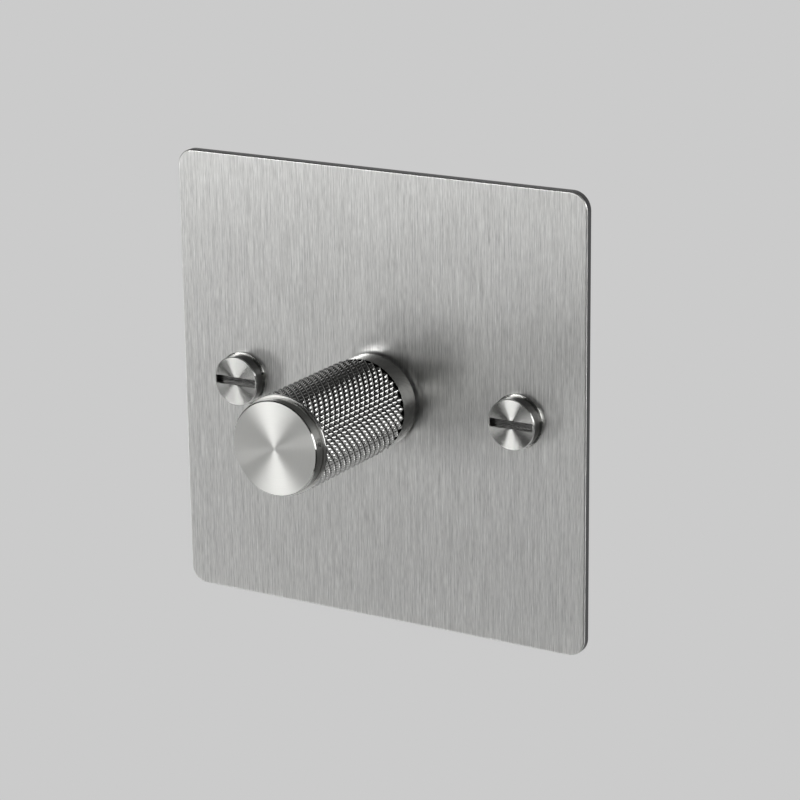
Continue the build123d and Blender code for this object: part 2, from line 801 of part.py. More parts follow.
# Power semiconductor: tab flat on the heat sink, body over it, and three legs bent to the board.
with BuildPart() as triac:
    with BuildSketch(wall_plane(heat_sink_back)):
        with Locations((triac_x, triac_z)):
            Rectangle(
                triac_width, triac_body_height + triac_tab_height, align=(Align.CENTER, Align.MIN)
            )
        with Locations((triac_x, triac_hole_z)):
            Circle(triac_hole_diameter / 2, mode=Mode.SUBTRACT)
    extrude(amount=-triac_tab_thickness)
    with BuildSketch(wall_plane(heat_sink_back)):
        with Locations((triac_x, triac_z)):
            Rectangle(triac_width, triac_body_height, align=(Align.CENTER, Align.MIN))
    extrude(amount=-triac_body_depth)
    with BuildSketch(wall_plane(triac_leg_height)):
        with Locations((triac_x, triac_z)):
            with GridLocations(triac_leg_spacing, 0, 3, 1):
                Rectangle(triac_leg_width, triac_leg_drop, align=(Align.CENTER, Align.MAX))
    extrude(amount=-triac_leg_thickness)
    with BuildSketch(wall_plane(triac_leg_height)):
        with Locations((triac_x, triac_leg_z)):
            with GridLocations(triac_leg_spacing, 0, 3, 1):
                Rectangle(triac_leg_width, triac_leg_thickness)
    extrude(amount=board_back - pin_tail - triac_leg_height)
finish(triac, "triac")

# Screw that presses the triac's tab on the heat sink.
with BuildPart() as triac_screw:
    with BuildSketch(wall_plane(heat_sink_back - triac_tab_thickness)):
        with Locations((triac_x, triac_hole_z)):
            Circle(triac_screw_head_diameter / 2)
    extrude(amount=-triac_screw_head_height)
    with BuildSketch(wall_plane(heat_sink_back - triac_tab_thickness)):
        with Locations((triac_x, triac_hole_z)):
            Circle(triac_screw_diameter / 2)
    extrude(amount=heat_sink_thickness + triac_tab_thickness)
    with BuildSketch(wall_plane(heat_sink_back - triac_tab_thickness - triac_screw_head_height)):
        with Locations((triac_x, triac_hole_z)):
            Rectangle(triac_screw_head_diameter, case_screw_slot_width)
    extrude(amount=case_screw_slot_depth, mode=Mode.SUBTRACT)
finish(triac_screw, "triac_screw")

# Suppression choke: a toroid core lying on the board, with turns of wire round it.
choke_back = board_front + choke_wire + choke_wire_clearance
choke_front = choke_back + choke_height
with BuildPart() as choke_core:
    with BuildSketch(wall_plane(choke_back)):
        with Locations((choke_x, choke_z)):
            Circle(choke_outer_radius)
            Circle(choke_inner_radius, mode=Mode.SUBTRACT)
    extrude(amount=choke_height)
finish(choke_core, "choke_core")

# Each turn is a square loop of wire that clears the core. The turns meet inside the ring.
turn_inner = choke_inner_radius - choke_wire_clearance
turn_outer = choke_outer_radius + choke_wire_clearance
turn_width = turn_outer - turn_inner
turn_middle = (turn_outer + turn_inner) / 2
choke_middle = (choke_back + choke_front) / 2
with BuildPart() as choke_winding:
    for turn in range(choke_turns):
        angle = 360 * turn / choke_turns
        turn_plane = Plane(
            (choke_x, -choke_middle, choke_z),
            x_dir=(cos(radians(angle)), 0, sin(radians(angle))),
            z_dir=(sin(radians(angle)), 0, -cos(radians(angle))),
        )
        with BuildSketch(turn_plane):
            with Locations((turn_middle, 0)):
                Rectangle(
                    turn_width + 2 * choke_wire,
                    choke_height + 2 * choke_wire_clearance + 2 * choke_wire,
                )
                Rectangle(
                    turn_width,
                    choke_height + 2 * choke_wire_clearance,
                    mode=Mode.SUBTRACT,
                )
        extrude(amount=choke_wire / 2, both=True)
    with BuildSketch(wall_plane(choke_back)):
        with Locations((choke_x, choke_z)):
            Circle(turn_inner - choke_wire_clearance)
            Circle(turn_inner - choke_wire, mode=Mode.SUBTRACT)
    extrude(amount=choke_height)
finish(choke_winding, "choke_winding")

# Film capacitor in its moulded box.
with BuildPart() as film_capacitor:
    with BuildSketch(wall_plane(board_front)):
        with Locations((0, capacitor_z)):
            Rectangle(capacitor_width, capacitor_height)
    extrude(amount=capacitor_depth)
    upright = film_capacitor.edges().filter_by(Axis.Y)
    fillet(upright, radius=capacitor_corner)
finish(film_capacitor, "film_capacitor")

# Control chip with two rows of pins.
chip_back = board_front + chip_stand_off
with BuildPart() as control_chip:
    with BuildSketch(wall_plane(chip_back)):
        with Locations((chip_x, chip_z)):
            Rectangle(chip_width, chip_length)
    extrude(amount=chip_thickness)
    with BuildSketch(wall_plane(board_front)):
        with Locations((chip_x, chip_z)):
            with GridLocations(chip_width + chip_pin_thickness, chip_pin_pitch, 2, chip_pins):
                Rectangle(chip_pin_thickness, chip_pin_width)
    extrude(amount=chip_stand_off + chip_thickness / 2)
finish(control_chip, "control_chip")

# Two resistors lying along Z, each with its leads bent down to the board.
resistor_height = board_front + resistor_radius + chip_stand_off
with BuildPart() as resistors:
    for x in (resistor_x - resistor_spacing / 2, resistor_x + resistor_spacing / 2):
        with BuildSketch(Plane.XY.offset(resistor_z - resistor_length / 2)):
            with Locations((x, -resistor_height)):
                Circle(resistor_radius)
        extrude(amount=resistor_length)
        with BuildSketch(Plane.XY.offset(resistor_z - resistor_lead_span / 2)):
            with Locations((x, -resistor_height)):
                Rectangle(2 * resistor_lead_radius, 2 * resistor_lead_radius)
        extrude(amount=resistor_lead_span)
        for end in (-1, 1):
            lead_z = resistor_z + end * (resistor_lead_span / 2 - resistor_lead_radius)
            with BuildSketch(wall_plane(board_front)):
                with Locations((x, lead_z)):
                    Rectangle(2 * resistor_lead_radius, 2 * resistor_lead_radius)
            extrude(amount=resistor_height - board_front)
finish(resistors, "resistors")

# Terminal block: moulded body on the back of the board, open for the screws and the wires.
terminal_row = [(n - (terminal_count - 1) / 2) * terminal_pitch for n in range(terminal_count)]
with BuildPart() as terminal_block:
    with BuildSketch(wall_plane(board_back)):
        with Locations((0, pocket_centre_z)):
            Rectangle(block_width, block_height)
    extrude(amount=block_back - board_back)
    with BuildSketch(wall_plane(block_back)):
        for x in terminal_row:
            with Locations((x, pocket_centre_z)):
                Rectangle(pocket_size, pocket_size)
    extrude(amount=cage_front - block_back, mode=Mode.SUBTRACT)
    with BuildSketch(Plane.XY.offset(block_bottom)):
        for x in terminal_row:
            with Locations((x, -wire_height)):
                Circle(wire_hole_diameter / 2 + wire_funnel)
    extrude(amount=terminal_block_wall + terminal_clearance, mode=Mode.SUBTRACT)
finish(terminal_block, "terminal_block")


def build_terminal(x, z, front):
    # Brass cage, cross-drilled for the wire along Z and tapped for its screw from the back.
    with BuildPart() as cage:
        with BuildSketch(wall_plane(front)):
            with Locations((x, z)):
                Rectangle(terminal_size, terminal_size)
        extrude(amount=-terminal_depth)
        with BuildSketch(Plane.XY.offset(z - terminal_size / 2)):
            with Locations((x, -(front - wire_hole_inset))):
                Circle(wire_hole_diameter / 2)
        extrude(amount=terminal_size, mode=Mode.SUBTRACT)
        with BuildSketch(wall_plane(front - terminal_depth)):
            with Locations((x, z)):
                Circle(terminal_screw_diameter / 2 + case_screw_clearance)
        extrude(amount=terminal_depth - wire_hole_inset, mode=Mode.SUBTRACT)
    return cage


def build_terminal_screws(places, front):
    # Slotted screws, backed out until their tips clear the wire holes.
    head = front - terminal_depth
    tip = front - wire_hole_inset - wire_hole_diameter / 2 - terminal_screw_tip_gap
    with BuildPart() as screws:
        with BuildSketch(wall_plane(head)):
            with Locations(*places):
                Circle(terminal_screw_head_diameter / 2)
        extrude(amount=-terminal_screw_head_height)
        with BuildSketch(wall_plane(head)):
            with Locations(*places):
                Circle(terminal_screw_diameter / 2)
        extrude(amount=tip - head)
        with BuildSketch(wall_plane(head - terminal_screw_head_height)):
            with Locations(*places):
                Rectangle(terminal_screw_head_diameter, terminal_screw_slot_width)
        extrude(amount=terminal_screw_slot_depth, mode=Mode.SUBTRACT)
    return screws


for number, x in enumerate(terminal_row, start=1):
    finish(build_terminal(x, pocket_centre_z, cage_front), f"terminal_cage_{number}")

terminal_places = [(x, pocket_centre_z) for x in terminal_row]
finish(build_terminal_screws(terminal_places, cage_front), "terminal_screws")

# Earth terminal of the metal plate: the same cage and screw, fixed on the plate's back.
earth_z = case_height / 2 + earth_gap + terminal_size / 2
finish(build_terminal(0, earth_z, 0), "earth_terminal")
finish(build_terminal_screws([(0, earth_z)], 0), "earth_screw")
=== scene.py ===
import json
from math import cos, pi, radians, sin, tau

import bmesh
import bpy
from mathutils import Matrix, Vector


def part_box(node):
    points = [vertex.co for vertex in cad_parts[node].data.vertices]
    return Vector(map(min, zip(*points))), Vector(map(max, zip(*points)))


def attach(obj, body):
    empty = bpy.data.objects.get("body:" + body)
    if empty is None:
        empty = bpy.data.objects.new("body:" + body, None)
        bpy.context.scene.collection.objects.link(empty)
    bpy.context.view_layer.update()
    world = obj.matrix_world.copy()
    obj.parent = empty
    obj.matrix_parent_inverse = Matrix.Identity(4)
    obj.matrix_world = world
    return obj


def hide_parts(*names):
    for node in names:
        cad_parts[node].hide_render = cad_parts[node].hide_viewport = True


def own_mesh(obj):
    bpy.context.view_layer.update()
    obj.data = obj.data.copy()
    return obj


# Wall dimmer: an upright-brushed plate, two slotted screws and a diamond-knurled knob, with the
# module behind it. X runs right, Z up and Y into the wall.
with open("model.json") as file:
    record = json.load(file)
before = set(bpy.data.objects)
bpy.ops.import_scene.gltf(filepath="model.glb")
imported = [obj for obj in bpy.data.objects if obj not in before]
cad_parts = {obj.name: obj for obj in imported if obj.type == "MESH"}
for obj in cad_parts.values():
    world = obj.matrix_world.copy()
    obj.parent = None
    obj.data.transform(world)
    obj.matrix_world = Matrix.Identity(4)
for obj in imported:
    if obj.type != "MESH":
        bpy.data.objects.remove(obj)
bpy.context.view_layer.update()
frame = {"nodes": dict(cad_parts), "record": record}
mm = 0.001
cutGap = 0.0001 * mm  # a cut goes through corners that lie closer to it than this
mergeGap = 0.0005 * mm  # corners of one shape that are closer than this become one
seamGap = 0.002 * mm  # the same where two shapes meet
touch = 0.01 * mm  # a corner this close to a level counts as on it

# Mesh helpers


def newPiece(name, bm, sharpAngle=30.0, roundedSlot=None, roundedAngle=50.0):
    # Doubles go first, then the faces are turned outwards, then the edges that stay crisp are marked.
    # Faces in the rounded slot blend into each other up to a steeper angle.
    bmesh.ops.remove_doubles(bm, verts=bm.verts, dist=mergeGap)
    bmesh.ops.recalc_face_normals(bm, faces=bm.faces)
    for face in bm.faces:
        face.smooth = True
    for edge in bm.edges:
        rounded = all(face.material_index == roundedSlot for face in edge.link_faces)
        limit = roundedAngle if rounded else sharpAngle
        if len(edge.link_faces) == 2 and edge.calc_face_angle() > radians(limit):
            edge.smooth = False
    mesh = bpy.data.meshes.new(name)
    bm.to_mesh(mesh)
    bm.free()
    piece = bpy.data.objects.new(name, mesh)
    bpy.context.scene.collection.objects.link(piece)
    return piece


def everything(bm):
    return bm.verts[:] + bm.edges[:] + bm.faces[:]


def addShape(bm, shape):
    # The shape goes into bm, and is freed.
    mesh = bpy.data.meshes.new("shape")
    shape.to_mesh(mesh)
    shape.free()
    bm.from_mesh(mesh)
    bpy.data.meshes.remove(mesh)


def drawProfile(bm, points):
    # points are (radius, y) pairs beside the Y axis, joined in their order.
    corners = [bm.verts.new((radius, y, 0)) for radius, y in points]
    edges = [bm.edges.new(pair) for pair in zip(corners, corners[1:])]
    return corners + edges


def turned(points, steps, centre=(0, 0, 0)):
    # A lathe profile spun once round the Y axis.
    bm = bmesh.new()
    bmesh.ops.spin(
        bm, geom=drawProfile(bm, points), cent=(0, 0, 0), axis=(0, 1, 0), dvec=(0, 0, 0),
        angle=tau, steps=steps, use_merge=True, use_duplicate=False,
    )
    bmesh.ops.remove_doubles(bm, verts=bm.verts, dist=mergeGap)
    bmesh.ops.translate(bm, vec=centre, verts=bm.verts)
    return bm


def rod(diameter, start, end, steps, centre=(0, 0, 0)):
    radius = diameter / 2
    return turned([(0, start), (radius, start), (radius, end), (0, end)], steps, centre)


def coil(bm, section, rise, turns, stepsPerTurn):
    # The section is spun round the Y axis while it climbs by the rise in each turn.
    bmesh.ops.spin(
        bm, geom=section, cent=(0, 0, 0), axis=(0, 1, 0), dvec=(0, rise / stepsPerTurn, 0),
        angle=tau * turns, steps=stepsPerTurn * turns, use_merge=False, use_duplicate=False,
    )


def trim(bm, y, away):
    # Takes off what lies past the level y, on the side that away (1 or -1) points to.
    bmesh.ops.bisect_plane(
        bm, geom=everything(bm), dist=cutGap, plane_co=(0, y, 0), plane_no=(0, away, 0),
        clear_outer=True,
    )


def closeEnds(bm):
    bmesh.ops.holes_fill(bm, edges=[e for e in bm.edges if e.is_boundary], sides=0)


def block(size, centre):
    bm = bmesh.new()
    bmesh.ops.create_cube(bm, size=1.0)
    bmesh.ops.scale(bm, vec=size, verts=bm.verts)
    bmesh.ops.translate(bm, vec=centre, verts=bm.verts)
    return bm


def roundEdges(bm, edges, radius, steps):
    bmesh.ops.bevel(
        bm, geom=edges, offset=radius, offset_type="OFFSET", segments=steps, profile=0.5,
        affect="EDGES", material=-1,
    )


def cutWith(piece, bm):
    # Takes the shape in bm out of the piece, and keeps the result as the piece's own mesh.
    cutter = newPiece("cutter", bm)
    cut = piece.modifiers.new("cut", "BOOLEAN")
    cut.object, cut.operation, cut.solver = cutter, "DIFFERENCE", "EXACT"
    graph = bpy.context.evaluated_depsgraph_get()
    shape = bpy.data.meshes.new_from_object(piece.evaluated_get(graph), depsgraph=graph)
    piece.modifiers.clear()
    piece.data = shape
    bpy.data.objects.remove(cutter)


def crispShading(piece):
    # Large flat faces keep their own direction, so that the rounds beside them don't bend the gloss.
    weighted = piece.modifiers.new("flat faces stay flat", "WEIGHTED_NORMAL")
    weighted.keep_sharp = True
    weighted.weight = 100


def facesSideways(face):
    return abs(face.normal.y) < 0.5


# Materials

noiseLow, noiseHigh = 0.3, 0.7  # nearly all values of a noise texture lie between these


def linearColour(hexColour):
    parts = [int(hexColour[i : i + 2], 16) / 255 for i in (1, 3, 5)]
    return [p / 12.92 if p <= 0.04045 else ((p + 0.055) / 1.055) ** 2.4 for p in parts] + [1.0]


def addNode(tree, kind, settings=None, values=None, links=None):
    node = tree.nodes.new(kind)
    for key, value in (settings or {}).items():
        setattr(node, key, value)
    for key, value in (values or {}).items():
        node.inputs[key].default_value = value
    for key, source in (links or {}).items():
        tree.links.new(source, node.inputs[key])
    return node


def newMaterial(name):
    material = bpy.data.materials.new(name)
    material.use_nodes = True
    material.node_tree.nodes.clear()
    return material, material.node_tree


def fromAxis(tree, place):
    # The way straight out from the Y axis, and the distance from it.
    out = addNode(
        tree, "ShaderNodeVectorMath", {"operation": "MULTIPLY"}, {1: (1, 0, 1)}, {0: place}
    ).outputs[0]
    radius = addNode(tree, "ShaderNodeVectorMath", {"operation": "LENGTH"}, links={0: out})
    return out, radius.outputs["Value"]


def coatSurface(tree, look, tone, grain, smearAlong=None, unshaded=None):
    # The tone runs from the dark colour to the light one, and what lies in painted shade takes the
    # shade's colour. The grain makes the gloss uneven and lifts the surface a little.
    colour = addNode(
        tree, "ShaderNodeMix", {"data_type": "RGBA"},
        {"A": linearColour(look["dark"]), "B": linearColour(look["light"])}, {"Factor": tone},
    ).outputs["Result"]
    if unshaded is not None:
        colour = addNode(
            tree, "ShaderNodeMix", {"data_type": "RGBA"}, {"A": linearColour(look["grooveShade"])},
            {"Factor": unshaded, "B": colour},
        ).outputs["Result"]
    glossy, dull = look["roughness"]
    rough = addNode(
        tree, "ShaderNodeMapRange", {},
        {"From Min": noiseLow, "From Max": noiseHigh, "To Min": glossy, "To Max": dull},
        {"Value": grain},
    ).outputs["Result"]
    bump = addNode(
        tree, "ShaderNodeBump", {}, {"Strength": look["bump"], "Distance": look["depth"]},
        {"Height": grain},
    ).outputs["Normal"]
    shader = addNode(
        tree, "ShaderNodeBsdfPrincipled", {}, {"Metallic": look.get("metallic", 0.0)},
        {"Base Color": colour, "Roughness": rough, "Normal": bump},
    )
    if smearAlong is not None:
        tangent = addNode(
            tree, "ShaderNodeVectorTransform",
            {"vector_type": "VECTOR", "convert_from": "OBJECT", "convert_to": "WORLD"},
            links={"Vector": smearAlong},
        ).outputs[0]
        tree.links.new(tangent, shader.inputs["Tangent"])
        shader.inputs["Anisotropic"].default_value = look["smear"]
    if "ior" in look:
        shader.inputs["IOR"].default_value = look["ior"]
    addNode(tree, "ShaderNodeOutputMaterial", links={"Surface": shader.outputs[0]})


def brushedSheet(name, look):
    # Stainless sheet drawn upright over an abrasive belt: fine scratches along Z, so what the sheet
    # mirrors is smeared sideways.
    material, tree = newMaterial(name)
    place = addNode(tree, "ShaderNodeTexCoord").outputs["Object"]
    layers = []
    for width, length in look["scratches"]:
        stretched = addNode(
            tree, "ShaderNodeMapping",
            values={"Scale": (1 / width, 1 / width, 1 / length)}, links={"Vector": place},
        )
        layers.append(
            addNode(
                tree, "ShaderNodeTexNoise", {"noise_dimensions": "3D"},
                {"Scale": 1.0, "Detail": 2.0, "Roughness": 0.6}, {"Vector": stretched.outputs[0]},
            ).outputs["Fac"]
        )
    fine, broad = layers
    both = addNode(
        tree, "ShaderNodeMix", {"data_type": "FLOAT"}, {"Factor": look["broadShare"]},
        {"A": fine, "B": broad},
    ).outputs["Result"]
    tone = addNode(
        tree, "ShaderNodeMapRange", {}, {"From Min": noiseLow, "From Max": noiseHigh}, {"Value": both}
    ).outputs["Result"]
    sideways = addNode(tree, "ShaderNodeCombineXYZ", {}, {"X": 1.0}).outputs[0]
    coatSurface(tree, look, tone, fine, smearAlong=sideways)
    return material


def turnedSteel(name, look, centreX=0.0):
    # Steel faced on a lathe: rings round the axis, so what it mirrors is smeared straight across them.
    material, tree = newMaterial(name)
    coordinates = addNode(tree, "ShaderNodeTexCoord")
    place = addNode(
        tree, "ShaderNodeMapping", values={"Location": (-centreX, 0, 0)},
        links={"Vector": coordinates.outputs["Object"]},
    ).outputs[0]
    out, radius = fromAxis(tree, place)
    height = addNode(tree, "ShaderNodeSeparateXYZ", links={0: place}).outputs["Y"]
    along = addNode(
        tree, "ShaderNodeMath", {"operation": "ADD"}, links={0: radius, 1: height}
    ).outputs[0]
    groove = addNode(
        tree, "ShaderNodeMath", {"operation": "DIVIDE"}, {1: look["grooveWidth"]}, {0: along}
    ).outputs[0]
    rings = addNode(
        tree, "ShaderNodeTexNoise", {"noise_dimensions": "1D"},
        {"Scale": 1.0, "Detail": 3.0, "Roughness": 0.65}, {"W": groove},
    ).outputs["Fac"]
    alongRing = addNode(
        tree, "ShaderNodeVectorMath", {"operation": "CROSS_PRODUCT"}, {0: (0, 1, 0)}, {1: out}
    ).outputs[0]
    acrossRing = addNode(
        tree, "ShaderNodeVectorMath", {"operation": "CROSS_PRODUCT"},
        links={0: alongRing, 1: coordinates.outputs["Normal"]},
    ).outputs[0]
    acrossRing = addNode(
        tree, "ShaderNodeVectorMath", {"operation": "NORMALIZE"}, links={0: acrossRing}
    ).outputs[0]
    coatSurface(tree, look, rings, rings, smearAlong=acrossRing)
    return material


def plainFinish(name, look):
    # One grain for a moulded, plated, rolled or painted surface: it shifts the tone, the gloss and
    # the surface a little. Painted shade can darken the grooves between two distances from the Y axis.
    material, tree = newMaterial(name)
    place = addNode(tree, "ShaderNodeTexCoord").outputs["Object"]
    stretched = addNode(
        tree, "ShaderNodeMapping", values={"Scale": [1 / side for side in look["grain"]]},
        links={"Vector": place},
    ).outputs[0]
    grain = addNode(
        tree, "ShaderNodeTexNoise", {"noise_dimensions": "3D"},
        {"Scale": 1.0, "Detail": 3.0, "Roughness": 0.55}, {"Vector": stretched},
    ).outputs["Fac"]
    unshaded = None
    # Painted shade: the grooves between these two distances from the axis take the shade colour.
    if "grooves" in look:
        bottom, top = look["grooves"]
        unshaded = addNode(
            tree, "ShaderNodeMapRange", {}, {"From Min": bottom, "From Max": top},
            {"Value": fromAxis(tree, place)[1]},
        ).outputs["Result"]
    coatSurface(tree, look, grain, grain, unshaded=unshaded)
    return material


# Face plate

plate = {
    "cornerRadius": 3.5 * mm,
    "cornerSteps": 16,
    "edgeRound": 0.35 * mm,
    "edgeSteps": 4,
    "screwHole": 3.9 * mm,
    "bushHole": 10.3 * mm,
    "holeSteps": 48,
    "holeReach": 1 * mm,
}
# Fine short scratches over broader long ones, both drawn as coarse as they need to show.
plateLook = {
    "dark": "#B0B0AE",
    "light": "#F8F8F6",
    "scratches": ((0.1 * mm, 2.5 * mm), (0.22 * mm, 10 * mm)),
    "broadShare": 0.45,
    "roughness": (0.34, 0.38),
    "smear": 0.64,
    "bump": 0.1,
    "depth": 0.004 * mm,
    "metallic": 1.0,
}
# The edges left by the shear are satin, and painted shade darkens their steel.
cutEdgeShadedLook = {
    "dark": "#4A4A4B",
    "light": "#5C5C5D",
    "grain": (0.4 * mm, 0.4 * mm, 0.4 * mm),
    "roughness": (0.35, 0.45),
    "bump": 0.1,
    "depth": 0.004 * mm,
    "metallic": 1.0,
}
plateLow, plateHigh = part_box("face_plate")
screwLow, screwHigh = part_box("plate_screws")
headDiameter = screwHigh.z - screwLow.z
screwReach = (screwHigh.x - screwLow.x - headDiameter) / 2


def makeFacePlate():
    bm = block(plateHigh - plateLow, (plateLow + plateHigh) / 2)
    uprights = [e for e in bm.edges if abs(e.verts[0].co.y - e.verts[1].co.y) > touch]
    roundEdges(bm, uprights, plate["cornerRadius"], plate["cornerSteps"])
    rim = [e for e in bm.edges if all(v.co.y < plateLow.y + touch for v in e.verts)]
    roundEdges(bm, rim, plate["edgeRound"], plate["edgeSteps"])
    piece = newPiece("facePlate", bm)
    start, end = plateLow.y - plate["holeReach"], plateHigh.y + plate["holeReach"]
    holes = ((-screwReach, "screwHole"), (screwReach, "screwHole"), (0, "bushHole"))
    for x, hole in holes:
        cutWith(piece, rod(plate[hole], start, end, plate["holeSteps"], (x, 0, 0)))
    piece.data.materials.append(brushedSheet("stainlessSheetBrushedUpright", plateLook))
    piece.data.materials.append(plainFinish("stainlessSheetShearedEdgeShaded", cutEdgeShadedLook))
    for face in piece.data.polygons:
        face.material_index = 1 if facesSideways(face) else 0
    crispShading(piece)
    return piece


facePlate = makeFacePlate()
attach(facePlate, "root")
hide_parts("face_plate")
print("face plate made")

# Fixing screws and their washers

screw = {
    "headChamfer": 0.18 * mm,
    "headSteps": 96,
    "sharpAngle": 40.0,
    "slotWidth": 1.65 * mm,
    "slotLength": 8.9 * mm,
    "slotDepth": 1.3 * mm,
    "neckDiameter": 3.1 * mm,
    "threadDiameter": 3.5 * mm,
    "threadRoot": 2.8 * mm,
    "threadPitch": 0.6 * mm,
    "threadCrest": (0.42, 0.58),
    "threadStart": 0.3 * mm,
    "threadSteps": 20,
}
washer = {"hole": 3.9 * mm, "edgeRound": 0.08 * mm, "steps": 72}
# The heads are faced on a lathe, so they show bright cones that point to the middle.
screwLook = {
    "dark": "#C9C9C6",
    "light": "#DEDEDB",
    "grooveWidth": 0.12 * mm,
    "roughness": (0.21, 0.24),
    "smear": 1.0,
    "bump": 0.15,
    "depth": 0.004 * mm,
    "metallic": 1.0,
}
# Their sides are turned finer than their faces, and painted shade darkens their steel.
screwSideShadedLook = {
    "dark": "#868684",
    "light": "#9C9C9A",
    "grooveWidth": 0.12 * mm,
    "roughness": (0.12, 0.16),
    "smear": 0.5,
    "bump": 0.06,
    "depth": 0.003 * mm,
    "metallic": 1.0,
}
# The slot is sawn, and duller than the turned head. Painted shade darkens its steel.
slotShadedLook = {
    "dark": "#6E6E6D",
    "light": "#8C8C8A",
    "grain": (2.0 * mm, 0.1 * mm, 0.1 * mm),
    "roughness": (0.22, 0.3),
    "bump": 0.2,
    "depth": 0.004 * mm,
    "metallic": 1.0,
}
washerLow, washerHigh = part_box("screw_washers")
sawnSteelShaded = plainFinish("stainlessBarSawnSlotShaded", slotShadedLook)


def makeThread(start, end):
    # One pitch of the thread climbs round the axis. Its ends are cut square and closed.
    root, crest, pitch = screw["threadRoot"] / 2, screw["threadDiameter"] / 2, screw["threadPitch"]
    crestStart, crestEnd = (pitch * share for share in screw["threadCrest"])
    outline = [(root, 0), (crest, crestStart), (crest, crestEnd), (root, pitch)]
    turns = int((end - start) / pitch) + 3
    bm = bmesh.new()
    section = drawProfile(bm, [(radius, start - pitch + y) for radius, y in outline])
    coil(bm, section, pitch, turns, screw["threadSteps"])
    bmesh.ops.remove_doubles(bm, verts=bm.verts, dist=seamGap)
    trim(bm, start, -1)
    trim(bm, end, 1)
    closeEnds(bm)
    return bm


def makeScrew(name, x):
    face, base, shoulder, end = screwLow.y, washerLow.y, screw["threadStart"], screwHigh.y
    radius, neck, chamfer = headDiameter / 2, screw["neckDiameter"] / 2, screw["headChamfer"]
    outline = [
        (0, face), (radius - chamfer, face), (radius, face + chamfer), (radius, base),
        (neck, base), (neck, shoulder), (0, shoulder),
    ]
    head = newPiece("screwHead", turned(outline, screw["headSteps"]))
    slot = (screw["slotLength"], screw["slotDepth"] * 2, screw["slotWidth"])
    cutWith(head, block(slot, (0, face, 0)))
    bm = bmesh.new()
    bm.from_mesh(head.data)
    bpy.data.objects.remove(head)
    addShape(bm, makeThread(shoulder - touch, end))
    bmesh.ops.translate(bm, vec=(x, 0, 0), verts=bm.verts)
    piece = newPiece(name, bm, screw["sharpAngle"])
    piece.data.materials.append(turnedSteel(name + "TurnedStainless", screwLook, x))
    piece.data.materials.append(sawnSteelShaded)
    piece.data.materials.append(turnedSteel(name + "SideStainlessShaded", screwSideShadedLook, x))
    for polygon in piece.data.polygons:
        across, inwards, up = polygon.center - Vector((x, face, 0))
        away = (abs(across), inwards, abs(up))
        inSlot = inwards > touch and all(part < side / 2 + touch for part, side in zip(away, slot))
        onSide = facesSideways(polygon) and polygon.center.y < base
        polygon.material_index = 1 if inSlot else 2 if onSide else 0
    crispShading(piece)
    return piece


for name, x in (("plateScrewLeft", -screwReach), ("plateScrewRight", screwReach)):
    piece = makeScrew(name, x)
    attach(piece, "root")
    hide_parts("plate_screws")


def makeWasher(name, x):
    outer, inner = (washerHigh.z - washerLow.z) / 2, washer["hole"] / 2
    low, high, edge = washerLow.y, washerHigh.y, washer["edgeRound"]
    outline = [
        (inner, low), (outer - edge, low), (outer, low + edge), (outer, high), (inner, high),
        (inner, low),
    ]
    piece = newPiece(name, turned(outline, washer["steps"], (x, 0, 0)))
    piece.data.materials.append(turnedSteel(name + "TurnedStainless", screwLook, x))
    crispShading(piece)
    return piece


for name, x in (("screwWasherLeft", -screwReach), ("screwWasherRight", screwReach)):
    piece = makeWasher(name, x)
    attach(piece, "root")
    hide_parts("screw_washers")
print("screws and washers made")

# Knob

knob = {
    "bandDiameter": 17.74 * mm,
    "bandLength": 2.3 * mm,
    "faceChamfer": 0.2 * mm,
    "ringDiameter": 18.7 * mm,
    "knurlDiameter": 18.8 * mm,
    "knurlDepth": 0.62 * mm,
    "knurlCrestsRound": 32,
    "knurlCrestsAlong": 16,
    "knurlPitch": 1.71 * mm,
    "toothSteps": 6,
    "toothRounding": 6.0,
    "shoulderDepth": 0.15 * mm,
    "shoulderRound": 0.08 * mm,
    "collarDiameter": 18.1 * mm,
    "collarLength": 4.4 * mm,
    "collarChamfer": 0.25 * mm,
    "cavityWall": 1.15 * mm,
    "cavityDepth": 5.0 * mm,
    "shaftBore": 6.04 * mm,
    "boreDepth": 18.1 * mm,
    "grubHole": 4.1 * mm,
    "grubHeight": 13.5 * mm,
    "grubSteps": 32,
    "sharpAngle": 25.0,
}
# The face is turned to a soft satin, with broad cones of light.
knobFaceLook = {
    "dark": "#CFCFCC",
    "light": "#E2E2DF",
    "grooveWidth": 0.12 * mm,
    "roughness": (0.44, 0.48),
    "smear": 0.9,
    "bump": 0.1,
    "depth": 0.004 * mm,
    "metallic": 1.0,
}
# Band and collar are turned bright, so they mirror the lamps as narrow stripes. Painted shade
# darkens their steel.
knobBandShadedLook = {
    "dark": "#A8A8A6",
    "light": "#C0C0BE",
    "grooveWidth": 0.12 * mm,
    "roughness": (0.1, 0.14),
    "smear": 0.5,
    "bump": 0.06,
    "depth": 0.003 * mm,
    "metallic": 1.0,
}
# The crests come sharp and bright off the tool. Painted shade darkens the steel, and darkens
# the bottoms of the grooves further.
knurlShadedLook = {
    "dark": "#A0A09E",
    "light": "#BEBEBC",
    "grooveShade": "#1E1E1E",
    "grooves": (8.79 * mm, 8.97 * mm),
    "grain": (0.3 * mm, 0.3 * mm, 0.3 * mm),
    "roughness": (0.08, 0.14),
    "bump": 0.06,
    "depth": 0.004 * mm,
    "metallic": 1.0,
}
knobLow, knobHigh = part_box("knob")


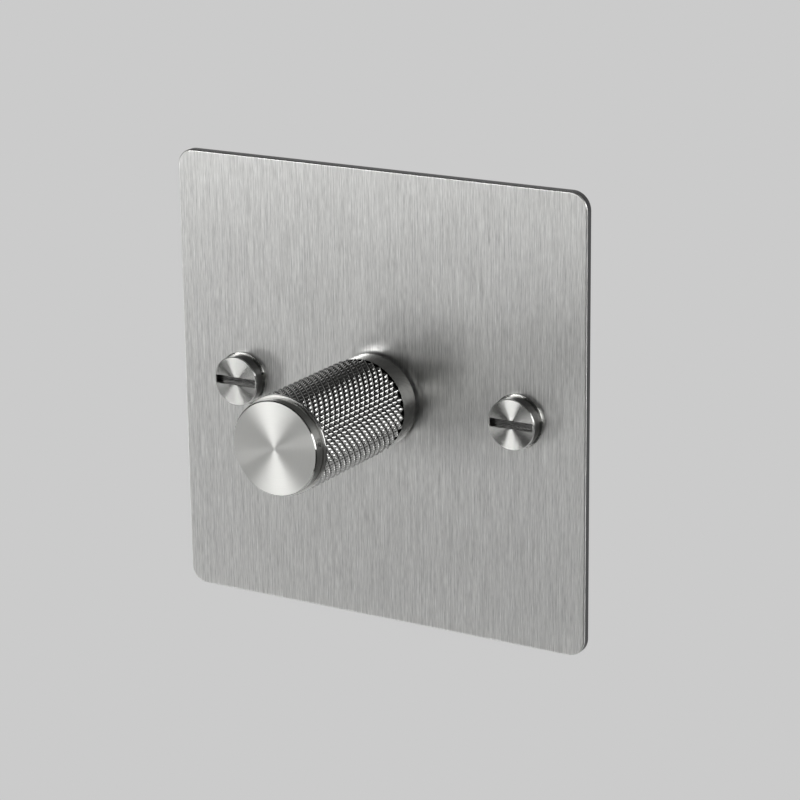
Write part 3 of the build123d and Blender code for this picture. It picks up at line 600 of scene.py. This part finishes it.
def makeTooth(halfStep, valley, depth):
    # One diamond of the knurl: a grid between four grooves, raised to a four-sided crest whose
    # ridges are rounded. Its rim lies on the valley cylinder, so neighbours share their edges.
    half, power = knob["knurlPitch"] / 2, knob["toothRounding"]
    bm = bmesh.new()
    bmesh.ops.create_grid(
        bm, x_segments=knob["toothSteps"], y_segments=knob["toothSteps"], size=1.0
    )
    for corner in bm.verts:
        u, v = corner.co.x, corner.co.y
        out = (abs(u) ** power + abs(v) ** power) ** (1 / power)
        radius = valley + depth * max(0.0, 1 - out)
        angle = halfStep * (u + v) / 2
        corner.co = (radius * sin(angle), half * (u - v) / 2, radius * cos(angle))
    return bm


def addRow(bm, tooth, y, turn):
    # Copies of one tooth all round the knob.
    row = tooth.copy()
    bmesh.ops.translate(row, vec=(0, y, 0), verts=row.verts)
    bmesh.ops.rotate(row, cent=(0, 0, 0), matrix=Matrix.Rotation(turn, 3, "Y"), verts=row.verts)
    bmesh.ops.spin(
        row, geom=everything(row), cent=(0, 0, 0), axis=(0, 1, 0), dvec=(0, 0, 0), angle=tau,
        steps=knob["knurlCrestsRound"], use_merge=False, use_duplicate=True,
    )
    addShape(bm, row)


def makeKnob():
    halfStep, half = pi / knob["knurlCrestsRound"], knob["knurlPitch"] / 2
    rows = 2 * knob["knurlCrestsAlong"]
    band, ring, collar = (knob[k] / 2 for k in ("bandDiameter", "ringDiameter", "collarDiameter"))
    valley = knob["knurlDiameter"] / 2 - knob["knurlDepth"]
    bore, cavity = knob["shaftBore"] / 2, collar - knob["cavityWall"]
    front, rear = knobLow.y, knobHigh.y
    shoulder = front + knob["bandLength"] + knob["shoulderDepth"]
    knurlRear = rear - knob["collarLength"]
    knurlFront = knurlRear - rows * half
    cavityEnd, boreEnd = rear - knob["cavityDepth"], rear - knob["boreDepth"]
    edge, rounding, rearEdge = (
        knob[k] for k in ("faceChamfer", "shoulderRound", "collarChamfer")
    )
    bm = bmesh.new()
    tooth = makeTooth(halfStep, valley, knob["knurlDepth"])
    for row in range(1, rows):
        addRow(bm, tooth, knurlRear - row * half, row * halfStep)
    tooth.free()

    # The end rows run out flat: half a tooth without height closes each notch.
    for y, away, turn in ((knurlRear, 1, 0.0), (knurlFront, -1, rows * halfStep)):
        flat = makeTooth(halfStep, valley, 0.0)
        trim(flat, 0, away)
        addRow(bm, flat, y, turn)
        flat.free()
    bmesh.ops.remove_doubles(bm, verts=bm.verts, dist=seamGap)

    # The turned ends meet the knurl corner by corner: a profile starts at X and the teeth at Z.
    outlines = (
        [
            (0, front), (band - edge, front), (band, front + edge), (band, shoulder),
            (ring - rounding, shoulder), (ring, shoulder + rounding), (ring, knurlFront),
            (valley, knurlFront),
        ],
        [
            (valley, knurlRear), (collar, knurlRear), (collar, rear - rearEdge),
            (collar - rearEdge, rear), (cavity, rear), (cavity, cavityEnd), (bore, cavityEnd),
            (bore, boreEnd), (0, boreEnd),
        ],
    )
    quarterTurn = Matrix.Rotation(-pi / 2, 3, "Y")
    for outline in outlines:
        turnedEnd = turned(outline, knob["knurlCrestsRound"] * knob["toothSteps"])
        bmesh.ops.rotate(turnedEnd, cent=(0, 0, 0), matrix=quarterTurn, verts=turnedEnd.verts)
        addShape(bm, turnedEnd)
    bmesh.ops.remove_doubles(bm, verts=bm.verts, dist=seamGap)

    faceSlot, bandSlot, knurlSlot = 0, 1, 2
    for face in bm.faces:
        radii = [Vector((v.co.x, v.co.z)).length for v in face.verts]
        heights = [v.co.y for v in face.verts]
        alongKnurl = min(heights) > knurlFront - touch and max(heights) < knurlRear + touch
        onKnurl = alongKnurl and min(radii) > cavity and max(radii) > valley - touch
        onFace = max(heights) < shoulder + mergeGap and max(heights) - min(heights) < mergeGap
        face.material_index = knurlSlot if onKnurl else faceSlot if onFace else bandSlot
    piece = newPiece("knob", bm, knob["sharpAngle"], roundedSlot=knurlSlot)
    piece.data.materials.append(turnedSteel("stainlessBarFaced", knobFaceLook))
    piece.data.materials.append(turnedSteel("stainlessBarTurnedShaded", knobBandShadedLook))
    piece.data.materials.append(plainFinish("stainlessBarFormKnurledShaded", knurlShadedLook))

    hole = rod(knob["grubHole"], 0, knob["knurlDiameter"], knob["grubSteps"])
    downwards = Matrix.Rotation(-pi / 2, 3, "X")
    bmesh.ops.rotate(hole, cent=(0, 0, 0), matrix=downwards, verts=hole.verts)
    bmesh.ops.translate(hole, vec=(0, -knob["grubHeight"], 0), verts=hole.verts)
    cutWith(piece, hole)
    crispShading(piece)
    return piece


knobPiece = makeKnob()
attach(knobPiece, "control")
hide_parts("knob")
print("knob made,", len(knobPiece.data.polygons), "faces")

# Return spring, drawn at one length; in the dimmer it shortens as the knob is pushed

spring = {
    "wire": 0.5 * mm,
    "wireSides": 10,
    "coilRadius": 2.9 * mm,
    "turns": 3,
    "stepsPerTurn": 40,
    "travel": 0.8 * mm,
    "sharpAngle": 50.0,
}
# Drawn wire, bright and smooth.
springLook = {
    "dark": "#8C8E90",
    "light": "#A8AAAC",
    "grain": (0.3 * mm, 0.3 * mm, 0.3 * mm),
    "roughness": (0.22, 0.32),
    "bump": 0.1,
    "depth": 0.005 * mm,
    "metallic": 1.0,
}
springLow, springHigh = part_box("return_spring")


def makeSpring():
    # The round section of the wire climbs round the axis, and both ends are closed.
    radius, length = spring["wire"] / 2, springHigh.y - springLow.y
    start = Matrix.Translation((spring["coilRadius"], springLow.y + radius, 0))
    bm = bmesh.new()
    bmesh.ops.create_circle(
        bm, segments=spring["wireSides"], radius=radius, matrix=start @ Matrix.Rotation(pi / 2, 4, "Z")
    )
    section = bm.verts[:] + bm.edges[:]
    rise = (length - spring["wire"]) / spring["turns"]
    coil(bm, section, rise, spring["turns"], spring["stepsPerTurn"])
    closeEnds(bm)
    piece = newPiece("returnSpring", bm, spring["sharpAngle"])
    piece.data.materials.append(plainFinish("springSteelDrawnWire", springLook))
    return piece


springPiece = makeSpring()
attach(springPiece, "root")
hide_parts("return_spring")
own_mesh(springPiece)
print("return spring made")

# Finishes of the parts behind the plate, each under its material slot

finishes = {
    # Rolled sheet as it leaves the mill: long faint lines, soft gloss.
    "aluminium": {
        "name": "aluminiumMillRolled",
        "dark": "#B4B6B8", "light": "#CFD1D2", "grain": (20 * mm, 20 * mm, 0.5 * mm),
        "roughness": (0.34, 0.46), "bump": 0.2, "depth": 0.01 * mm, "metallic": 1.0,
    },
    # Thermoset with the fine spark texture of its mould.
    "case_plastic": {
        "name": "phenolicMoulded",
        "dark": "#1C1C1E", "light": "#29292B", "grain": (0.5 * mm, 0.5 * mm, 0.5 * mm),
        "roughness": (0.5, 0.65), "bump": 0.35, "depth": 0.03 * mm, "ior": 1.55,
    },
    # Moulded smoother than the case, so a little glossier.
    "black_plastic": {
        "name": "blackNylonMoulded",
        "dark": "#141416", "light": "#1E1E20", "grain": (0.8 * mm, 0.8 * mm, 0.8 * mm),
        "roughness": (0.35, 0.5), "bump": 0.2, "depth": 0.02 * mm, "ior": 1.5,
    },
    # Natural acetal: a warm white with a waxy gloss.
    "white_plastic": {
        "name": "acetalMoulded",
        "dark": "#DBD8CE", "light": "#E8E5DC", "grain": (1 * mm, 1 * mm, 1 * mm),
        "roughness": (0.35, 0.45), "bump": 0.1, "depth": 0.02 * mm, "ior": 1.48,
    },
    # Blackened in an oxide bath: dark, with a dull shine.
    "black_steel": {
        "name": "steelBlackened",
        "dark": "#17171A", "light": "#26262A", "grain": (0.4 * mm, 0.4 * mm, 0.4 * mm),
        "roughness": (0.35, 0.5), "bump": 0.2, "depth": 0.01 * mm, "metallic": 1.0,
    },
    "spring_steel": {"name": "springSteelStamped", **springLook},
    # Zinc plate: bright with a faint blue cast.
    "zinc_steel": {
        "name": "steelZincPlated",
        "dark": "#B5BABF", "light": "#CDD1D5", "grain": (0.6 * mm, 0.6 * mm, 0.6 * mm),
        "roughness": (0.2, 0.34), "bump": 0.15, "depth": 0.008 * mm, "metallic": 1.0,
    },
    # Machined: a warm yellow with fine lines round each piece.
    "brass": {
        "name": "brassMachined",
        "dark": "#B08E4A", "light": "#CDAA62", "grain": (1.5 * mm, 0.15 * mm, 1.5 * mm),
        "roughness": (0.22, 0.36), "bump": 0.15, "depth": 0.008 * mm, "metallic": 1.0,
    },
    # The tin hides the yellow and takes the edge off the shine.
    "tinned_brass": {
        "name": "brassTinned",
        "dark": "#B6B5AF", "light": "#CBCAC5", "grain": (0.3 * mm, 0.3 * mm, 0.3 * mm),
        "roughness": (0.25, 0.35), "bump": 0.1, "depth": 0.005 * mm, "metallic": 1.0,
    },
    # Printed carbon ink: nearly black and matt.
    "carbon_track": {
        "name": "carbonInkPrinted",
        "dark": "#1B1917", "light": "#262320", "grain": (0.2 * mm, 0.2 * mm, 0.2 * mm),
        "roughness": (0.6, 0.75), "bump": 0.1, "depth": 0.01 * mm, "ior": 1.6,
    },
    # Glass cloth and epoxy under a green lacquer that shines.
    "board_laminate": {
        "name": "epoxyLaminateLacquered",
        "dark": "#1E5A35", "light": "#2A6B42", "grain": (0.7 * mm, 0.7 * mm, 0.7 * mm),
        "roughness": (0.25, 0.35), "bump": 0.1, "depth": 0.01 * mm, "ior": 1.55,
    },
    # The ring core has a thick yellow coat with a slight orange peel.
    "ferrite": {
        "name": "ferriteCoated",
        "dark": "#CDB455", "light": "#DCC669", "grain": (1 * mm, 1 * mm, 1 * mm),
        "roughness": (0.35, 0.5), "bump": 0.25, "depth": 0.03 * mm, "ior": 1.55,
    },
    # Copper under clear enamel: red-brown and glossy.
    "copper_wire": {
        "name": "copperWireEnamelled",
        "dark": "#8E4521", "light": "#B0592C", "grain": (0.5 * mm, 0.5 * mm, 0.5 * mm),
        "roughness": (0.22, 0.32), "bump": 0.1, "depth": 0.01 * mm, "metallic": 1.0,
    },
    # Dyed polyester with sharp moulded edges and an even gloss.
    "capacitor_plastic": {
        "name": "polyesterMoulded",
        "dark": "#B48E1C", "light": "#C49E28", "grain": (0.8 * mm, 0.8 * mm, 0.8 * mm),
        "roughness": (0.3, 0.42), "bump": 0.15, "depth": 0.02 * mm, "ior": 1.5,
    },
    # Dipped in a tan lacquer that runs thick and shiny.
    "resistor_lacquer": {
        "name": "lacquerDipped",
        "dark": "#BC9F76", "light": "#CBAF86", "grain": (0.8 * mm, 0.8 * mm, 0.8 * mm),
        "roughness": (0.3, 0.4), "bump": 0.15, "depth": 0.02 * mm, "ior": 1.5,
    },
}
painted = {}
for part in frame["record"]["subparts"]:
    slotName = part["material_slot"]
    if slotName not in finishes:
        continue
    if slotName not in painted:
        painted[slotName] = plainFinish(finishes[slotName]["name"], finishes[slotName])
    mesh = frame["nodes"][part["node"]].data
    mesh.materials.clear()
    mesh.materials.append(painted[slotName])
print("module finished in", len(painted), "materials")

# Studio

studio = {
    "background": "#CBCBCB",
    "worldFront": 0.05,
    "worldTurn": (0.1, 0.6),
    "floorDrop": 900 * mm,
    "floorFront": 0.5,
    "floorSize": 12.0,
    "floorRoughness": 0.9,
}
# Angles are seen from the knob: azimuth from straight out of the wall towards the right, then
# height above the horizon. Radiance 1 is as bright as white paper.
softboxes = {
    "keyHigh": {"azimuth": -30.5, "height": 4, "distance": 1.0, "size": (0.46, 0.2), "radiance": 8.8},
    "keyLow": {"azimuth": -30, "height": -38, "distance": 1.0, "size": (0.38, 0.21), "radiance": 4.0},
    "left": {"azimuth": -60, "height": -16, "distance": 1.0, "size": (0.2, 0.46), "radiance": 4.2},
    "middle": {"azimuth": -13, "height": -14, "distance": 1.0, "size": (0.2, 0.3), "radiance": 1.5},
    "rightFront": {"azimuth": 50, "height": 6, "distance": 1.0, "size": (0.24, 0.44), "radiance": 3.2},
    "right": {"azimuth": 76, "height": 20, "distance": 0.9, "size": (0.3, 0.5), "radiance": 5.0},
    "rightLow": {"azimuth": 100, "height": -18, "distance": 0.9, "size": (0.26, 0.3), "radiance": 2.5},
}
# The fills light paint and plastic to their own colours and stay out of the metal, which mirrors the
# softboxes alone.
fills = {
    "fillFront": {"azimuth": 0, "height": 25, "distance": 1.5, "size": (1.0, 1.0), "radiance": 4.0},
    "fillLeft": {"azimuth": -95, "height": 15, "distance": 1.5, "size": (1.0, 1.0), "radiance": 4.6},
    "fillRight": {"azimuth": 95, "height": 15, "distance": 1.5, "size": (1.0, 1.0), "radiance": 3.0},
    "fillBack": {"azimuth": 180, "height": 25, "distance": 1.5, "size": (1.0, 1.0), "radiance": 3.8},
}


def direction(azimuth, height):
    a, h = radians(azimuth), radians(height)
    return Vector((sin(a) * cos(h), -cos(a) * cos(h), sin(h)))


def addSoftbox(name, box, mirrored=True):
    light = bpy.data.lights.new(name, "AREA")
    light.shape = "RECTANGLE"
    light.size, light.size_y = box["size"]
    light.energy = box["radiance"] * pi * light.size * light.size_y
    lamp = bpy.data.objects.new(name, light)
    lamp.location = direction(box["azimuth"], box["height"]) * box["distance"]
    lamp.rotation_euler = lamp.location.to_track_quat("Z", "Y").to_euler()
    lamp.visible_camera = False
    lamp.visible_glossy = mirrored
    bpy.context.scene.collection.objects.link(lamp)


for name, box in softboxes.items():
    addSoftbox(name, box)
for name, box in fills.items():
    addSoftbox(name, box, mirrored=False)


def makeWorld():
    world = bpy.data.worlds.new("studio")
    bpy.context.scene.world = world
    world.use_nodes = True
    tree = world.node_tree
    tree.nodes.clear()
    way = addNode(tree, "ShaderNodeTexCoord").outputs["Generated"]
    behind = addNode(tree, "ShaderNodeSeparateXYZ", links={0: way}).outputs["Y"]
    # Behind the dimmer metal and glass mirror the pale background too. In front the studio is dark.
    darkEnd, paleStart = studio["worldTurn"]
    share = addNode(
        tree, "ShaderNodeMapRange", {"interpolation_type": "SMOOTHSTEP"},
        {"From Min": darkEnd, "From Max": paleStart}, {"Value": behind},
    ).outputs["Result"]
    dark = addNode(
        tree, "ShaderNodeBackground", {}, {"Color": (1, 1, 1, 1), "Strength": studio["worldFront"]}
    )
    flat = addNode(tree, "ShaderNodeBackground", {}, {"Color": linearColour(studio["background"])})
    soft = addNode(
        tree, "ShaderNodeMixShader", links={0: share, 1: dark.outputs[0], 2: flat.outputs[0]}
    )
    rays = addNode(tree, "ShaderNodeLightPath")
    mixed = addNode(
        tree, "ShaderNodeMixShader",
        links={0: rays.outputs["Is Camera Ray"], 1: soft.outputs[0], 2: flat.outputs[0]},
    )
    addNode(tree, "ShaderNodeOutputWorld", links={"Surface": mixed.outputs[0]})


makeWorld()


def makeFloor():
    # Matt paint that holds the shadow, and flat colour for the camera, metal and glass.
    bm = bmesh.new()
    bmesh.ops.create_grid(bm, x_segments=1, y_segments=1, size=studio["floorSize"])
    middle = studio["floorSize"] - studio["floorFront"]
    bmesh.ops.translate(bm, vec=(0, middle, plateLow.z - studio["floorDrop"]), verts=bm.verts)
    floor = newPiece("floor", bm)
    material, tree = newMaterial("paleFloor")
    colour = linearColour(studio["background"])
    paint = addNode(
        tree, "ShaderNodeBsdfPrincipled", {},
        {"Base Color": colour, "Roughness": studio["floorRoughness"]},
    )
    flat = addNode(tree, "ShaderNodeEmission", {}, {"Color": colour})
    rays = addNode(tree, "ShaderNodeLightPath")
    seen = rays.outputs["Is Camera Ray"]
    for kind in ("Is Glossy Ray", "Is Transmission Ray"):
        seen = addNode(
            tree, "ShaderNodeMath", {"operation": "MAXIMUM"}, links={0: seen, 1: rays.outputs[kind]}
        ).outputs[0]
    mixed = addNode(
        tree, "ShaderNodeMixShader", links={0: seen, 1: paint.outputs[0], 2: flat.outputs[0]}
    )
    addNode(tree, "ShaderNodeOutputMaterial", links={"Surface": mixed.outputs[0]})
    floor.data.materials.append(material)
    return floor


makeFloor()
print("studio lit")

# Camera

camera = {
    "azimuth": 30.85,
    "height": 16.54,
    "roll": -0.71,
    "distance": 537 * mm,
    "target": (4.05 * mm, 0, -0.06 * mm),
    "focal": 128.5,
    "sensor": 36,
    "clipStart": 10 * mm,
}


def makeCamera():
    data = bpy.data.cameras.new("camera")
    data.sensor_width = camera["sensor"]
    data.lens = camera["focal"]
    data.clip_start = camera["clipStart"]
    holder = bpy.data.objects.new("camera", data)
    back = direction(camera["azimuth"], camera["height"])
    holder.location = Vector(camera["target"]) + back * camera["distance"]
    turn = back.to_track_quat("Z", "Y").to_matrix() @ Matrix.Rotation(radians(camera["roll"]), 3, "Z")
    holder.rotation_euler = turn.to_euler()
    bpy.context.scene.collection.objects.link(holder)
    bpy.context.scene.camera = holder


makeCamera()
bpy.context.scene.view_settings.view_transform = "Standard"
print("camera set")
